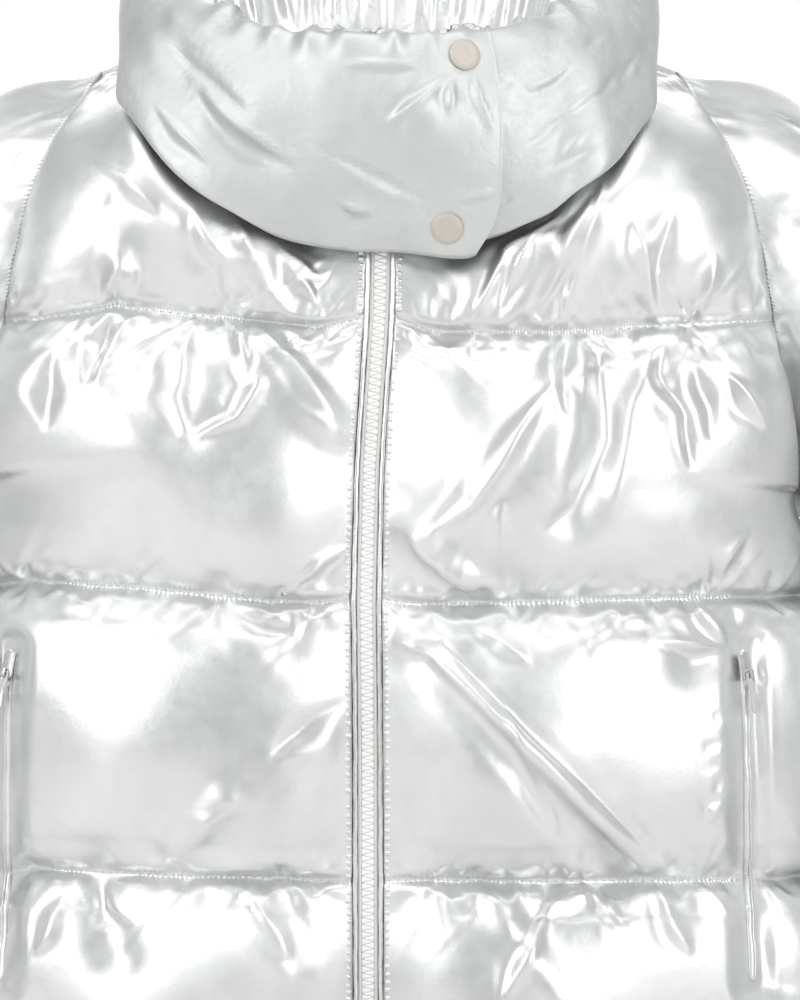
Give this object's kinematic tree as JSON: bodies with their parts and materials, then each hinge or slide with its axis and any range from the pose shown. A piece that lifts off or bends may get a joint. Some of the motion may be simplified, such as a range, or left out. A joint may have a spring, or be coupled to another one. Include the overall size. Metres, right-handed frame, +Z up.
{
  "type": "puffer jacket",
  "caption": "Hollow quilted puffer jacket in metallised cloth, with a snap-over funnel collar, centre front zip and zipped pockets.",
  "frame": {"origin": "between the shoulders, level with the foot of the collar's sides, where the wearer carries the jacket", "axes": "+Z up, the front faces -Y, +X is the wearer's left"},
  "size_m": [0.9628, 0.3218, 0.8205],
  "materials": {
    "shell_foil": "silver foil-coated polyester, glossy and creased",
    "piping_foil": "folded silver piping, glossy",
    "zip_tape": "pearl-white woven tape with moulded teeth",
    "pocket_zip": "silver welt over a narrow coil zip",
    "snap_metal": "matte champagne-silver cap",
    "zip_metal": "satin nickel"
  },
  "bodies": {
    "jacket": {"front_left": "shell_foil", "front_right": "shell_foil", "back": "shell_foil", "sleeve_left": "shell_foil", "sleeve_right": "shell_foil", "collar": "shell_foil", "snap_cap_upper": "snap_metal", "snap_cap_lower": "snap_metal", "zip_tape_left": "zip_tape", "zip_tape_right": "zip_tape", "zip_piping_left": "piping_foil", "zip_piping_right": "piping_foil", "zip_slider": "zip_metal", "pocket_zip_left": "pocket_zip", "pocket_zip_right": "pocket_zip", "pocket_slider_left": "zip_metal", "pocket_slider_right": "zip_metal"},
    "pull_left": {"pocket_pull_left": "zip_metal"},
    "pull_right": {"pocket_pull_right": "zip_metal"}
  },
  "joints": [
    {"name": "pull_left_swing", "type": "hinge", "parent": "jacket", "child": "pull_left", "pos_m": [0.1842, -0.11754, -0.32469], "axis": [-0.7538, -0.6571, 0], "range_deg": [0, 120]},
    {"name": "pull_right_swing", "type": "hinge", "parent": "jacket", "child": "pull_right", "pos_m": [-0.19586, -0.11835, -0.32358], "axis": [-0.8923, 0.4514, 0], "range_deg": [0, 120]}
  ]
}
